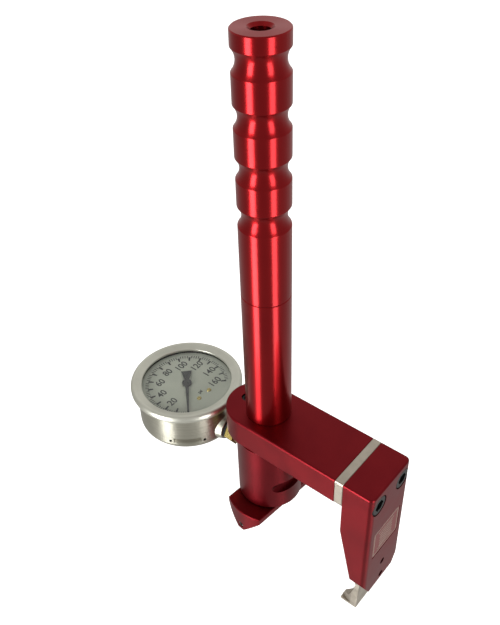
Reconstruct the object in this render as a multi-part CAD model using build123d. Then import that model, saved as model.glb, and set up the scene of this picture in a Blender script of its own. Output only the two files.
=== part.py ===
from build123d import *
from math import atan2, cos, degrees, pi, radians, sin
import os

# Hand tester for valve-spring seat pressure: a lever with a hydraulic force cell and a dial gauge.
# Millimetres. +Z runs up the handle, +X along the arm towards the claw.
# The origin is the centre of the foot's pressing land, on the handle's axis.

# ---------------------------------------------------------------- driving dimensions
# milled frame
BODY_WIDTH = 36.9             # arm, spacer and leg, across Y
ARM_TOP = 81.6                # height of the arm's top face above the foot's land
ARM_THICK = 17.5
ARM_END_X = 57.4
ARM_ROUND_X = -7.5            # centre of the arm's round end
EDGE_ROUND = 1.1              # rounded edges of the milled parts
EDGE_ROUND_LOW = 0.5          # the same below the arm
EDGE_BREAK = 0.25             # broken edges where the milled parts meet
SPACER_THICK = 5.0
LEG_THICK = 18.0
LEG_BOTTOM = -5.9
LEG_SLANT_TOP = 44.6          # the leg's inner face is vertical above this height
LEG_TOE_THICK = 6.9           # leg thickness left at its bottom
LEG_CORNER_TOP = 5.8          # lower corners of the leg are cut off from this height
LEG_TOE_HALF = 12.2           # half width left at the bottom
LEG_CORNER_R = 3.0            # round on the leg's outer corners
PANEL_WIDTH = 26.0            # shallow etched panel on the leg's outer face
PANEL_HEIGHT = 22.0
PANEL_CORNER = 1.5
PANEL_Z = 37.6
PANEL_DEPTH = 0.25

# 5/16 in socket head cap screws that hold the leg
LEG_SCREW_Y = 11.0
LEG_SCREW_Z = 72.0
LEG_SCREW_REACH = 23.0        # length of screw in the arm
CAP_HEAD_R = 5.95
CAP_HEAD_H = 7.9
CAP_SHANK_R = 3.9
CAP_KEY_AF = 6.35
CAP_KEY_DEPTH = 4.5

# claw
CLAW_BOTTOM = -31.4
CLAW_HALF = 11.7
CLAW_OUTER_X = 73.0
CLAW_TIP_X = 62.4
CLAW_TIP_HEIGHT = 2.4         # upright part of the toe's tip
CLAW_TOE_X = 64.0
CLAW_TOE_Z = -24.4            # top of the toe, behind its tip
CLAW_THROAT = ((66.9, -24.4), (69.8, -16.7), (71.4, -9.0))   # its lower end, middle and upper end
CLAW_TAPER = 6.8              # length of the toe that narrows towards its tip
CLAW_TAPER_IN = 2.9           # how far it narrows on each side
CLAW_LIP = 1.6                # height of the toe's base that doesn't narrow
CLAW_NOTCH_R = 10.5           # hollow across the toe's tip, that hugs the spring's seat
CLAW_NOTCH_X = 57.9
CLAW_PLATE = 3.4              # thickness of the claw's mounting plate
CLAW_PLATE_TOP = 19.9
CLAW_RECESS = 0.5             # depth of its locating recess in the leg
CLAW_SCREW_Z = (10.6, -1.9)
CLAW_SCREW_R = 2.0
CLAW_HEAD_R = 3.7
CLAW_KEY_R = 1.44
CLAW_SEAT_DEPTH = 0.9         # counterbore of the low screw heads

# handle, turned from 1 in bar in two lengths
HANDLE_R = 12.7
HANDLE_TOP = 294.1
HANDLE_SEAM = 164.6
SEAM_GAP = 0.03
HANDLE_CHAMFER = 0.35
HANDLE_TOP_CHAMFER = 0.5
GROOVE_PITCH = 24.0
GROOVE_COUNT = 4
GROOVE_FIRST = 281.6          # centre of the topmost finger groove
GROOVE_HALF = 5.35
GROOVE_DEPTH = 2.0
GROOVE_LIP = 0.6
HANDLE_BORE_R = 4.3
HANDLE_SINK = 1.4              # depth of the bore's 45 degree countersink
HANDLE_BORE_DEPTH = 30.0
BASE_STUD_R = 6.0
BASE_STUD_UP = 22.0
BASE_STUD_DOWN = 8.5
JOIN_STUD_R = 5.0
JOIN_STUD_HALF = 15.0
STUD_CHAMFER = 0.6
END_ROOM = 0.5                # depth left beyond the end of a stud or screw

# cylinder
BARREL_R = 18.85
BARREL_BOTTOM = 17.3
BARREL_CHAMFER = 0.8
CHAMBER_TOP = 51.0
BORE_R = 9.525                # 3/4 in piston bore
RELIEF_R = 4.0                # round-bottomed cut across the barrel's claw side
RELIEF_Z = 34.6
RELIEF_X = 16.6
STEM_Z = 45.7                 # gauge port axis
PORT_R = 6.7
PORT_BOTTOM_X = -11.0
OIL_HOLE_R = 2.2
BLEED_X = -15.9
BLEED_SCREW_R = 3.0
BLEED_SINK = 0.8              # the bleed screw's top lies this far below the arm's top
BLEED_DEPTH = 9.0
BLEED_CONE = 1.7
BLEED_KEY_R = 1.73
PASSAGE_R = 1.0
PASSAGE_X = (-14.5, -7.4)     # upper and lower ends of the bleed drilling
SEAL_X = -11.85               # where the bleed drilling crosses from arm to barrel
SEAL_RING_R = 2.0
SEAL_CORD_R = 0.58
SEAL_GROOVE = (1.0, 3.0, 1.2) # inner radius, outer radius, depth

# ram
PISTON_SHOULDER = 20.25
PISTON_TOP = 39.4
PISTON_CHAMFER = 0.8
NOSE_R = 7.4
SPIGOT_R = 5.0
SPIGOT_BOTTOM = 7.0
SPIGOT_GROOVE = 1.2           # depth of the spigot's groove
SPIGOT_GROOVE_HALF = 1.6
WEAR_LOW, WEAR_HIGH, WEAR_DEPTH = 23.9, 27.9, 1.5
SEAL_LOW, SEAL_HIGH, SEAL_DEPTH = 32.4, 35.2, 2.3
RING_LOW = 18.9               # retaining ring
RING_THICK = 1.2
RING_DEPTH = 0.9
RING_GAP = 4.4
RUNNING = 0.045               # radial clearance of sliding and turning fits
SNUG = 0.02                   # radial clearance of screwed and pinned fits
FREE = 0.3                    # radial clearance of through holes

# foot
FOOT_TOP = 16.1
FOOT_TURN = -5.5              # the foot turns freely; it stands a little off the arm's cross line
FOOT_SHIFT = 1.2              # its wedge stands this far beside the ram's axis
FOOT_HALF_X = 13.0
FOOT_END_R = 27.4
FOOT_FLANK = 4.0              # vertical part of the foot's sides
FOOT_LAND = 2.2               # half width of the pressing land
FOOT_CHAMFER = 0.4
FOOT_PIN_R = 2.0
FOOT_PIN_BORE_R = 1.2         # the pin is hollow
FOOT_PIN_Z = 3.8
FOOT_PIN_SINK = 0.5
FOOT_SCREW_R = 1.6
FOOT_SCREW_Z = 10.9
FOOT_SCREW_X = (6.4, 10.4)
FOOT_DOG_R = 1.1
FOOT_DOG_X = 4.1
FOOT_KEY_R = 0.92
FOOT_KEY_X = 8.6

# gauge case, 63 mm size
GAUGE_X = -65.0
BEZEL_R = 34.4
BEZEL_TOP = 67.8
BEZEL_BOTTOM = 62.6
BEZEL_ROLL_TOP = 2.3          # rolled outer edges of the bezel
BEZEL_ROLL_LOW = 2.2
BEZEL_CREST_R = 31.6          # its top falls inwards from here
BEZEL_LIP_TOP = 66.1
BEZEL_LIP = 0.4               # round on its inner edge
BEZEL_SEAT_R = 33.3           # inside of the rolled bezel
BEZEL_SHEET = 1.05            # thickness of its lip
OPENING_R = 27.6              # visible opening of the bezel
WINDOW_R = 29.5
WINDOW_THICK = 1.5
GASKET_INNER_R = 28.3         # collar of the gasket, that carries the window
GASKET_COLLAR = 1.2
CASE_R = 31.0
CASE_BOTTOM = 37.3
CASE_WALL = 1.2
CASE_CORNER = 4.0
FLANGE_R = 33.2
FLANGE_LOW = 63.35
FLANGE_TOP = 64.27
CASE_HOLE_R = 6.4
NECK_INNER_R = 6.35
NECK_R = (7.5, 9.0)           # neck ring: outer radius at its free end and at the case
NECK_X = (-31.2, -35.5)
NECK_ROUND = 0.7
STEM_SEAL_END_X = -29.35
STAMP_Z = 43.7                # middle of the two dimples beside the stamped recess of the wall
STAMP_TURN = -49.0
STAMP_SPAN = 31.5             # degrees of the wall that the recess covers
STAMP_HEIGHTS = (41.9, 43.1, 46.3)   # foot and head of its sloping lower side, upper side
STAMP_DEPTH = 0.75
DIMPLE_TURN = 19.5            # degrees from the recess's middle to each dimple
DIMPLE_R = 1.0
PLUG_Z = 52.0                 # filling plug
PLUG_R = 3.3
PLUG_HEAD_R = 4.6
PLUG_HEAD = 2.0
PLUG_ROUND = 0.8

# dial and socket
DIAL_TOP = 61.8
DIAL_R = 28.9
DIAL_THICK = 0.8
DIAL_HOLE_R = 1.6
DIAL_SCREWS = ((-50.7, -4.45), (-50.7, 4.45))
DIAL_SCREW_R = 0.8
DIAL_HEAD_R = (1.5, 1.2)      # screw head: radius at the dial and at its top
DIAL_HEAD_H = 0.5
DIAL_SLOT = 0.3
SOCKET_HEX_AF = 12.8
SOCKET_HEX_X = (-29.3, -23.6)
SOCKET_THREAD_X = -19.6
SOCKET_NECK_R = 5.6
SOCKET_BLOCK_X = (-50.5, -42.5)
SOCKET_BLOCK_HALF = 6.0
SOCKET_BORE_R = 1.6

# gauge movement; heights are measured from the port axis
MOVEMENT_LOW = STEM_Z + 4.5
MOVEMENT_TOP = STEM_Z + 13.0
MOVEMENT_X = (-76.5, -57.5)
MOVEMENT_Y = (-7.0, 21.0)
MOVEMENT_CORNER = 2.5
PLATE_THICK = 1.0
PILLARS = ((-74.0, -4.5), (-59.8, 18.2), (-74.5, 10.0))
PILLAR_R = 1.4
POST_R = 1.6                  # the dial's posts
ARBOR_R = 0.62
PINION_LOW, PINION_HIGH = STEM_Z + 6.9, STEM_Z + 9.9
SECTOR_LOW, SECTOR_HIGH = STEM_Z + 7.7, STEM_Z + 8.9
LINK_LOW, LINK_HIGH = STEM_Z + 9.5, STEM_Z + 10.3
GEAR_MODULE = 0.4
PINION_TEETH = 8
SECTOR_TEETH = 80             # of the whole wheel that the sector is cut from
SECTOR_CUT = 10               # teeth cut on the sector
SECTOR_SWEEP = 27.0           # degrees turned over the full scale
TOOTH_ROOT = 0.62             # thickness of a tooth at its root
TOOTH_TIP = (0.26, 0.30)      # and at its tip, on the pinion and on the sector
SECTOR_HUB_R = 2.4
SECTOR_NECK = 1.6             # half width of the sector's arm at its hub
TAIL_LENGTH = 5.0
TAIL_HALF = 1.1
LINK_PIN_R = 0.5
LINK_HALF = 0.7
LINK_EYE_R = 1.2
LINK_SLOT = (4.6, 1.4)
LINK_SLOT_RIM = 1.8
LINK_SLOT_SHIFT = 1.2
TUBE_R = 19.0                 # Bourdon tube's mean radius
TUBE_WIDE = 7.8
TUBE_THICK = 1.8
TUBE_START = -8.0             # degrees
TIP_TURN = 118.0
TIP_HALF = 1.6
SPRING_LOW = STEM_Z + 10.6    # hairspring
SPRING_WIDTH = 0.8
SPRING_THICK = 0.16
SPRING_STEP = 0.5
SPRING_FIRST_R = 1.4
SPRING_HALF_TURNS = 7

# pointer: distances along it from the arbor and half widths
POINTER_LOW = 0.75            # above the dial
POINTER_THICK = 0.4
POINTER_HUB_R = 2.95
NEEDLE = ((-10.5, 3.3), (-2.2, 1.25), (22.8, 0.5))
NEEDLE_TIP = 24.5
ZERO_TURN = -135.0            # the scale's zero, clockwise from its top

# ---------------------------------------------------------------- worked out
HALF = BODY_WIDTH / 2
ARM_BOTTOM = ARM_TOP - ARM_THICK
SPACER_END_X = ARM_END_X + SPACER_THICK
LEG_OUTER_X = SPACER_END_X + LEG_THICK
SLANT = (LEG_THICK - LEG_TOE_THICK) / (LEG_SLANT_TOP - LEG_BOTTOM)
RING_GROOVE_R = BORE_R + RING_DEPTH
WINDOW_TOP = BEZEL_LIP_TOP - BEZEL_SHEET - 0.03
BASE_STUD_ENDS = (ARM_BOTTOM - BASE_STUD_DOWN, ARM_TOP + BASE_STUD_UP)
JOIN_STUD_ENDS = (HANDLE_SEAM - JOIN_STUD_HALF, HANDLE_SEAM + JOIN_STUD_HALF)
GEAR_CENTRES = GEAR_MODULE * (PINION_TEETH + SECTOR_TEETH) / 2 + 0.1
SECTOR_PIVOT = (GAUGE_X, GEAR_CENTRES)
SECTOR_MID = -90 - SECTOR_SWEEP / 2
TAIL_TURN = SECTOR_MID + 180
TAIL_PIN = (SECTOR_PIVOT[0] + TAIL_LENGTH * cos(radians(TAIL_TURN)),
            SECTOR_PIVOT[1] + TAIL_LENGTH * sin(radians(TAIL_TURN)))
TIP_PIN = (GAUGE_X + TUBE_R * cos(radians(TIP_TURN)), TUBE_R * sin(radians(TIP_TURN)))

LOW = (Align.CENTER, Align.CENTER, Align.MIN)


# ---------------------------------------------------------------- helpers
def upright(radius, low, high, x=0.0, y=0.0):
    """A cylinder along Z."""
    return Pos(x, y, low) * Cylinder(radius, high - low, align=LOW)


def tube(outer, inner, low, high, x=0.0, y=0.0):
    return upright(outer, low, high, x, y) - upright(inner, low - 1, high + 1, x, y)


def along_x(radius, x0, x1, y=0.0, z=0.0):
    """A cylinder along X."""
    return Pos(x0, y, z) * Rot(0, 90, 0) * Cylinder(radius, x1 - x0, align=LOW)


def along_y(radius, y0, y1, x=0.0, z=0.0):
    """A cylinder along Y."""
    return Pos(x, y0, z) * Rot(-90, 0, 0) * Cylinder(radius, y1 - y0, align=LOW)


def block(x0, x1, y0, y1, z0, z1):
    middle = Pos((x0 + x1) / 2, (y0 + y1) / 2, (z0 + z1) / 2)
    return middle * Box(x1 - x0, y1 - y0, z1 - z0)


def hexagon_x(radius, x0, x1, y=0.0, z=0.0):
    """A hexagonal prism along X; radius is to its corners."""
    outline = Plane.YZ * (Pos(y, z) * RegularPolygon(radius, 6))
    return Pos(x0, 0, 0) * extrude(outline, x1 - x0)


def turned(points):
    """A closed (radius, height) outline turned about the Z axis."""
    return revolve(Plane.XZ * make_face(Polyline(*points, close=True)), Axis.Z)


def plate_xz(points, half_width):
    """A closed (x, z) outline made solid to half_width on both sides of y = 0."""
    return extrude(Plane.XZ * make_face(Polyline(*points, close=True)), half_width, both=True)


def edges_at(solid, test):
    return ShapeList([e for e in solid.edges() if test(e)])


def circles(solid):
    """The solid's circular edges, lowest first."""
    return solid.edges().filter_by(GeomType.CIRCLE).sort_by(Axis.Z)


def leg_inner_x(z):
    """The x of the leg's slanted inner face at height z."""
    return SPACER_END_X + max(0.0, LEG_SLANT_TOP - z) * SLANT


def claw_seat_x(z):
    """The x of the claw plate's inner face at height z."""
    return leg_inner_x(z) + CLAW_RECESS - CLAW_PLATE


def passage():
    """The slanted bleed drilling from under the bleed screw to the roof of the chamber."""
    top = Vector(PASSAGE_X[0], 0, ARM_TOP - BLEED_DEPTH)
    foot = Vector(PASSAGE_X[1], 0, CHAMBER_TOP - 1)
    run = foot - top
    return Plane(origin=top, z_dir=run) * Cylinder(PASSAGE_R, run.length, align=LOW)


# ---------------------------------------------------------------- frame of the tool
def make_arm():
    length = ARM_END_X - ARM_ROUND_X
    outline = Pos(ARM_ROUND_X + length / 2, 0) * Rectangle(length, BODY_WIDTH)
    outline += Pos(ARM_ROUND_X, 0) * Circle(HALF)
    arm = Pos(0, 0, ARM_BOTTOM) * extrude(outline, ARM_THICK)
    for z, rounding in ((ARM_TOP, EDGE_ROUND), (ARM_BOTTOM, EDGE_ROUND_LOW)):
        rim = edges_at(arm, lambda e: abs(e.center().Z - z) < 0.01 and abs(e.center().X - ARM_END_X) > 0.1)
        arm = fillet(rim, rounding)
    arm = chamfer(arm.faces().sort_by(Axis.X)[-1].edges(), EDGE_BREAK)
    arm -= upright(BASE_STUD_R + EDGE_BREAK, ARM_BOTTOM - 1, ARM_TOP + 1)
    arm -= upright(BLEED_SCREW_R + SNUG, ARM_TOP - BLEED_DEPTH, ARM_TOP + 1, BLEED_X)
    arm -= passage()
    for y in (-LEG_SCREW_Y, LEG_SCREW_Y):
        arm -= along_x(CAP_SHANK_R + SNUG, ARM_END_X - LEG_SCREW_REACH - 1, ARM_END_X + 1, y, LEG_SCREW_Z)
    return arm


def make_bleed_screw():
    """Cone-point set screw with a hex socket."""
    top = ARM_TOP - BLEED_SINK
    cone_top = ARM_TOP - BLEED_DEPTH + 2.5
    screw = upright(BLEED_SCREW_R, cone_top, top, BLEED_X)
    screw += Pos(BLEED_X, 0, cone_top - BLEED_CONE) * Cone(PASSAGE_R, BLEED_SCREW_R, BLEED_CONE, align=LOW)
    screw = chamfer(screw.edges().sort_by(Axis.Z)[-1], 0.4)
    return screw - Pos(BLEED_X, 0, top - 3.2) * extrude(RegularPolygon(BLEED_KEY_R, 6), 4)


def make_spacer():
    spacer = block(ARM_END_X, SPACER_END_X, -HALF, HALF, ARM_BOTTOM, ARM_TOP)
    spacer = fillet(spacer.edges().filter_by(Axis.X), EDGE_ROUND)
    for face in (0, -1):
        spacer = chamfer(spacer.faces().sort_by(Axis.X)[face].edges(), EDGE_BREAK)
    for y in (-LEG_SCREW_Y, LEG_SCREW_Y):
        spacer -= along_x(CAP_SHANK_R + FREE, ARM_END_X - 1, SPACER_END_X + 1, y, LEG_SCREW_Z)
    return spacer


def leg_corner(side):
    """The wedge cut off one lower corner of the leg."""
    far = side * (HALF + 9)
    below = LEG_BOTTOM - 4
    outline = [(side * HALF, LEG_CORNER_TOP), (far, LEG_CORNER_TOP), (far, below)]
    outline += [(side * LEG_TOE_HALF, below), (side * LEG_TOE_HALF, LEG_BOTTOM)]
    wedge = Plane.YZ * make_face(Polyline(*outline, close=True))
    return Pos(SPACER_END_X - 5, 0, 0) * extrude(wedge, LEG_THICK + 10)


def claw_recess():
    """The pocket in the leg's slanted face that locates the claw."""
    below = LEG_BOTTOM - 1
    upper_x = leg_inner_x(CLAW_PLATE_TOP)
    outline = [(upper_x - 2, CLAW_PLATE_TOP), (upper_x + CLAW_RECESS, CLAW_PLATE_TOP)]
    outline += [(leg_inner_x(below) + CLAW_RECESS, below), (leg_inner_x(LEG_BOTTOM) - 6, below)]
    return plate_xz(outline, CLAW_HALF + 0.1)


def make_leg():
    toe_x = leg_inner_x(LEG_BOTTOM)
    outline = [(SPACER_END_X, ARM_TOP), (LEG_OUTER_X, ARM_TOP), (LEG_OUTER_X, LEG_BOTTOM)]
    outline += [(toe_x, LEG_BOTTOM), (SPACER_END_X, LEG_SLANT_TOP)]
    leg = plate_xz(outline, HALF)
    for side in (-1, 1):
        leg -= leg_corner(side)
    tall = edges_at(leg, lambda e: abs(e.center().X - LEG_OUTER_X) < 0.01 and e.length > 60)
    leg = fillet(tall, LEG_CORNER_R)
    top = edges_at(leg, lambda e: abs(e.center().Z - ARM_TOP) < 0.01 and e.center().X > SPACER_END_X + 1)
    leg = fillet(top, EDGE_ROUND)
    inner = edges_at(leg, lambda e: abs(e.center().X - SPACER_END_X) < 0.01)
    leg = chamfer([e for e in inner if e.center().Z > LEG_SLANT_TOP + 1], EDGE_BREAK)
    for y in (-LEG_SCREW_Y, LEG_SCREW_Y):
        floor = LEG_OUTER_X - CAP_HEAD_H - 0.2
        leg -= along_x(CAP_HEAD_R + FREE, floor, LEG_OUTER_X + 1, y, LEG_SCREW_Z)
        leg -= along_x(CAP_SHANK_R + FREE, SPACER_END_X - 1, LEG_OUTER_X, y, LEG_SCREW_Z)
    for z in CLAW_SCREW_Z:
        leg -= along_x(CLAW_SCREW_R + SNUG, SPACER_END_X, LEG_OUTER_X + 1, 0, z)
    leg -= claw_recess()
    panel = Plane.YZ * (Pos(0, PANEL_Z) * RectangleRounded(PANEL_WIDTH, PANEL_HEIGHT, PANEL_CORNER))
    return leg - Pos(LEG_OUTER_X - PANEL_DEPTH, 0, 0) * extrude(panel, 2)


def make_leg_screws():
    """Two socket head cap screws that clamp leg and spacer to the arm."""
    face = LEG_OUTER_X - 0.2
    screws = []
    for y in (-LEG_SCREW_Y, LEG_SCREW_Y):
        screw = along_x(CAP_HEAD_R, face - CAP_HEAD_H, face, y, LEG_SCREW_Z)
        screw = chamfer(screw.edges().sort_by(Axis.X)[-1], 0.5)
        screw += along_x(CAP_SHANK_R, ARM_END_X - LEG_SCREW_REACH, face - 1, y, LEG_SCREW_Z)
        key_r = CAP_KEY_AF / 2 / cos(pi / 6)
        screws.append(screw - hexagon_x(key_r, face - CAP_KEY_DEPTH, face + 1, y, LEG_SCREW_Z))
    return Compound(children=screws)


def make_claw():
    """Hardened hook: a plate in the leg's recess, a hollow throat and a tapered, notched toe."""
    plate_top = CLAW_PLATE_TOP - 0.1
    outer_top = leg_inner_x(CLAW_PLATE_TOP) + CLAW_RECESS
    outer_low = leg_inner_x(LEG_BOTTOM) + CLAW_RECESS
    toe = (CLAW_TOE_X, CLAW_TOE_Z)
    lower, middle, upper = CLAW_THROAT
    edge = Polyline(lower, toe, (CLAW_TIP_X, CLAW_BOTTOM + CLAW_TIP_HEIGHT), (CLAW_TIP_X, CLAW_BOTTOM),
                    (CLAW_OUTER_X, CLAW_BOTTOM), (outer_low, LEG_BOTTOM), (outer_top, plate_top),
                    (outer_top - CLAW_PLATE, plate_top), upper)
    outline = make_face(edge + ThreePointArc(upper, middle, lower))
    claw = extrude(Plane.XZ * outline, CLAW_HALF, both=True)
    lip = CLAW_BOTTOM + CLAW_LIP
    taper_x = CLAW_TIP_X + CLAW_TAPER
    for side in (-1, 1):
        taper = [(CLAW_TIP_X - 2, side * (CLAW_HALF - CLAW_TAPER_IN)), (taper_x, side * CLAW_HALF),
                 (taper_x, side * (CLAW_HALF + 3)), (CLAW_TIP_X - 2, side * (CLAW_HALF + 3))]
        claw -= Pos(0, 0, lip) * extrude(make_face(Polyline(*taper, close=True)), LEG_BOTTOM - lip)
    claw -= upright(CLAW_NOTCH_R, CLAW_BOTTOM - 1, LEG_BOTTOM, CLAW_NOTCH_X)
    for z in CLAW_SCREW_Z:
        seat_x = claw_seat_x(z)
        claw -= along_x(CLAW_SCREW_R + 0.2, seat_x - 3, LEG_OUTER_X, 0, z)
        claw -= along_x(CLAW_HEAD_R + 0.2, seat_x - 4, seat_x + CLAW_SEAT_DEPTH, 0, z)
    return claw


def make_claw_screws():
    """Two low-head screws through the claw's plate into the leg."""
    screws = []
    for z in CLAW_SCREW_Z:
        seat_x = claw_seat_x(z)
        top_x = seat_x - 0.8
        screw = along_x(CLAW_SCREW_R, seat_x, LEG_OUTER_X - 1.4, 0, z)
        screw += along_x(CLAW_HEAD_R, top_x, seat_x + CLAW_SEAT_DEPTH - 0.05, 0, z)
        screws.append(screw - hexagon_x(CLAW_KEY_R, top_x - 1, top_x + 1.2, 0, z))
    return Compound(children=screws)


# ---------------------------------------------------------------- handle
def make_handle_post():
    post = upright(HANDLE_R, ARM_TOP, HANDLE_SEAM - SEAM_GAP)
    post = chamfer(circles(post), HANDLE_CHAMFER)
    post -= upright(BASE_STUD_R + SNUG, ARM_TOP - 1, ARM_TOP + BASE_STUD_UP + END_ROOM)
    return post - upright(JOIN_STUD_R + SNUG, HANDLE_SEAM - JOIN_STUD_HALF - END_ROOM, HANDLE_SEAM + 1)


def make_handle_grip():
    grip = upright(HANDLE_R, HANDLE_SEAM + SEAM_GAP, HANDLE_TOP)
    grip = chamfer(circles(grip)[0], HANDLE_CHAMFER)
    grip = chamfer(circles(grip)[-1], HANDLE_TOP_CHAMFER)
    arc_r = (GROOVE_HALF ** 2 + GROOVE_DEPTH ** 2) / (2 * GROOVE_DEPTH)
    centre_r = HANDLE_R - GROOVE_DEPTH + arc_r
    for n in range(GROOVE_COUNT):
        cutter = Plane.XZ * (Pos(centre_r, GROOVE_FIRST - n * GROOVE_PITCH) * Circle(arc_r))
        grip -= revolve(cutter, Axis.Z)
    lips = [e for e in circles(grip) if abs(e.radius - HANDLE_R) < 0.01
            and HANDLE_SEAM + 5 < e.center().Z < HANDLE_TOP - 2]
    grip = fillet(lips, GROOVE_LIP)
    grip -= upright(JOIN_STUD_R + SNUG, HANDLE_SEAM - 1, HANDLE_SEAM + JOIN_STUD_HALF + END_ROOM)
    grip -= upright(HANDLE_BORE_R, HANDLE_TOP - HANDLE_BORE_DEPTH, HANDLE_TOP + 1)
    over = HANDLE_SINK + 1
    sink = Cone(HANDLE_BORE_R, HANDLE_BORE_R + over, over, align=LOW)
    return grip - Pos(0, 0, HANDLE_TOP - HANDLE_SINK) * sink


def make_stud(radius, low, high):
    stud = upright(radius, low, high)
    return chamfer(circles(stud), STUD_CHAMFER)


# ---------------------------------------------------------------- cylinder and ram
def make_barrel():
    barrel = upright(BARREL_R, BARREL_BOTTOM, ARM_BOTTOM)
    barrel = chamfer(circles(barrel)[0], BARREL_CHAMFER)
    barrel -= upright(BORE_R, BARREL_BOTTOM - 1, CHAMBER_TOP)
    barrel -= Pos(0, 0, BARREL_BOTTOM - 0.01) * Cone(BORE_R + 0.8, BORE_R, 0.8, align=LOW)
    barrel -= upright(RING_GROOVE_R, RING_LOW - 0.05, RING_LOW + RING_THICK + 0.05)
    barrel -= upright(BASE_STUD_R + SNUG, ARM_BOTTOM - BASE_STUD_DOWN - END_ROOM, ARM_BOTTOM + 1)
    barrel -= along_x(PORT_R + SNUG, -BARREL_R - 2, PORT_BOTTOM_X + 0.2, 0, STEM_Z)
    barrel -= along_x(OIL_HOLE_R, -BARREL_R, 0, 0, STEM_Z)
    barrel -= along_y(RELIEF_R, -BARREL_R - 1, BARREL_R + 1, RELIEF_X, RELIEF_Z)
    barrel -= block(RELIEF_X, BARREL_R + 2, -BARREL_R, BARREL_R, RELIEF_Z - RELIEF_R, RELIEF_Z + RELIEF_R)
    barrel -= passage()
    inner, outer, depth = SEAL_GROOVE
    return barrel - tube(outer, inner, ARM_BOTTOM - depth, ARM_BOTTOM + 1, SEAL_X)


def make_bleed_seal():
    return Pos(SEAL_X, 0, ARM_BOTTOM - SEAL_GROOVE[2] / 2) * Torus(SEAL_RING_R, SEAL_CORD_R)


def make_retaining_ring():
    ring = tube(RING_GROOVE_R - 0.1, NOSE_R + 0.5, RING_LOW, RING_LOW + RING_THICK)
    return ring - block(0, BARREL_R, -RING_GAP / 2, RING_GAP / 2, RING_LOW - 1, RING_LOW + 3)


def make_piston():
    """Piston, nose and spigot in one turning, with grooves for the seal and the wear ring."""
    radius = BORE_R - RUNNING
    neck = SPIGOT_R - SPIGOT_GROOVE
    neck_low, neck_high = FOOT_SCREW_Z - SPIGOT_GROOVE_HALF, FOOT_SCREW_Z + SPIGOT_GROOVE_HALF
    nose_low = FOOT_TOP + 0.05
    outline = [(0, SPIGOT_BOTTOM), (SPIGOT_R - 0.5, SPIGOT_BOTTOM), (SPIGOT_R, SPIGOT_BOTTOM + 0.5)]
    outline += [(SPIGOT_R, neck_low), (neck, neck_low), (neck, neck_high), (SPIGOT_R, neck_high)]
    outline += [(SPIGOT_R, nose_low), (NOSE_R, nose_low)]
    outline += [(NOSE_R, PISTON_SHOULDER), (radius, PISTON_SHOULDER)]
    for low, high, depth in ((WEAR_LOW, WEAR_HIGH, WEAR_DEPTH), (SEAL_LOW, SEAL_HIGH, SEAL_DEPTH)):
        outline += [(radius, low), (BORE_R - depth, low), (BORE_R - depth, high), (radius, high)]
    outline += [(radius, PISTON_TOP - PISTON_CHAMFER), (radius - PISTON_CHAMFER, PISTON_TOP), (0, PISTON_TOP)]
    return turned(outline)


def make_piston_seal():
    section = (SEAL_DEPTH - RUNNING) / 2
    return Pos(0, 0, (SEAL_LOW + SEAL_HIGH) / 2) * Torus(BORE_R - RUNNING - section, section - 0.01)


def make_wear_ring():
    return tube(BORE_R - 0.03, BORE_R - WEAR_DEPTH + SNUG, WEAR_LOW + 0.05, WEAR_HIGH - 0.05)


def make_foot():
    """Wedge bar with round ends that presses on the spring."""
    flank = FOOT_TOP - FOOT_FLANK
    section = [(-FOOT_HALF_X, FOOT_TOP), (FOOT_HALF_X, FOOT_TOP), (FOOT_HALF_X, flank), (FOOT_LAND, 0)]
    section += [(-FOOT_LAND, 0), (-FOOT_HALF_X, flank)]
    foot = plate_xz(section, FOOT_END_R + 1) & upright(FOOT_END_R, -1, FOOT_TOP + 1)
    foot = chamfer(edges_at(foot, lambda e: abs(e.center().Z - FOOT_TOP) < 0.01), FOOT_CHAMFER)
    foot -= along_y(FOOT_PIN_R + SNUG, -FOOT_END_R - 1, FOOT_END_R + 1, 0, FOOT_PIN_Z)
    foot = Pos(FOOT_SHIFT, 0, 0) * foot
    foot -= upright(SPIGOT_R + RUNNING, SPIGOT_BOTTOM - 0.4, FOOT_TOP + 1)
    foot -= along_x(FOOT_SCREW_R + SNUG, 0, FOOT_SHIFT + FOOT_HALF_X + 1, 0, FOOT_SCREW_Z)
    return Rot(0, 0, FOOT_TURN) * foot


def make_foot_pin():
    end = FOOT_END_R - FOOT_PIN_SINK
    pin = chamfer(circles(along_y(FOOT_PIN_R, -end, end, FOOT_SHIFT, FOOT_PIN_Z)), 0.3)
    pin -= along_y(FOOT_PIN_BORE_R, -end - 1, end + 1, FOOT_SHIFT, FOOT_PIN_Z)
    return Rot(0, 0, FOOT_TURN) * pin


def make_foot_screw():
    """Dog-point set screw that rides in the spigot's groove, so the foot turns but stays on."""
    screw = along_x(FOOT_SCREW_R, *FOOT_SCREW_X, 0, FOOT_SCREW_Z)
    screw += along_x(FOOT_DOG_R, FOOT_DOG_X, FOOT_SCREW_X[0] + 1, 0, FOOT_SCREW_Z)
    return Rot(0, 0, FOOT_TURN) * (screw - hexagon_x(FOOT_KEY_R, FOOT_KEY_X, FOOT_HALF_X, 0, FOOT_SCREW_Z))


# ---------------------------------------------------------------- gauge case
def case_recess():
    """The stamped recess, cut along the curve of the wall."""
    foot, low, high = STAMP_HEIGHTS
    floor = CASE_R - STAMP_DEPTH
    outline = [(floor, low), (floor, high), (CASE_R + 1, high), (CASE_R + 1, foot), (CASE_R, foot)]
    recess = revolve(Plane.XZ * make_face(Polyline(*outline, close=True)), Axis.Z, STAMP_SPAN)
    return Pos(GAUGE_X, 0, 0) * Rot(0, 0, STAMP_TURN - STAMP_SPAN / 2) * recess


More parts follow.
